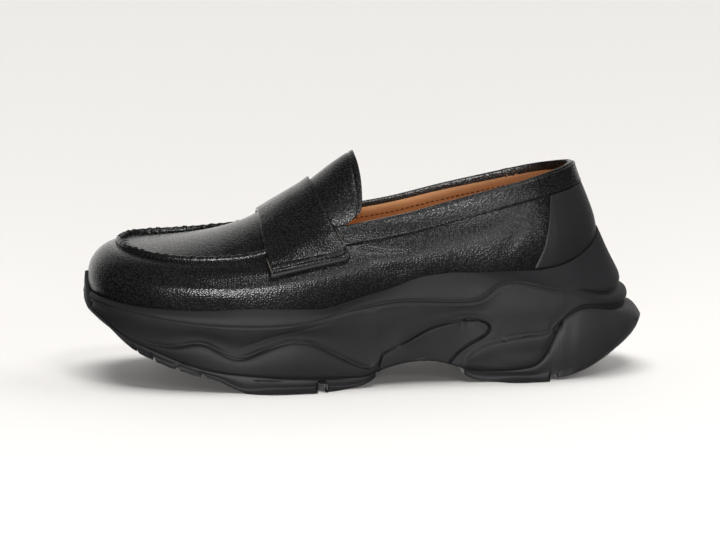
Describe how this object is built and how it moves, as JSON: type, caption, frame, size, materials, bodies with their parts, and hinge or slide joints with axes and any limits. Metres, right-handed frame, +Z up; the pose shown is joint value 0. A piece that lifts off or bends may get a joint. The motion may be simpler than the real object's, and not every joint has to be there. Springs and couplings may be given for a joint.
{
  "type": "loafer shoe",
  "caption": "Left slip-on loafer with moccasin apron, saddle strap and standing tongue on a thick wave-moulded rubber sole with arch, lugs and flared heel.",
  "frame": {"origin": "middle of the shoe's length and width, on the floor", "axes": "+X from toe to heel along the longest side, +Y towards the inner side of the left foot, +Z up from the floor"},
  "size_m": [0.3212, 0.1173, 0.1273],
  "materials": {
    "grained_leather": "pebbled, satin black",
    "smooth_leather": "fine-grained, satin black",
    "lining_leather": "smooth tan, matt",
    "sole_rubber": "moulded, matt charcoal black",
    "tread_rubber": "moulded, matt charcoal black"
  },
  "bodies": {
    "root": {"midsole": "sole_rubber", "outsole_front": "tread_rubber", "outsole_heel": "tread_rubber", "insole": "lining_leather", "upper": "grained_leather", "tongue": "grained_leather", "saddle_strap": "grained_leather", "collar_band": "grained_leather", "heel_counter": "smooth_leather"}
  },
  "joints": []
}
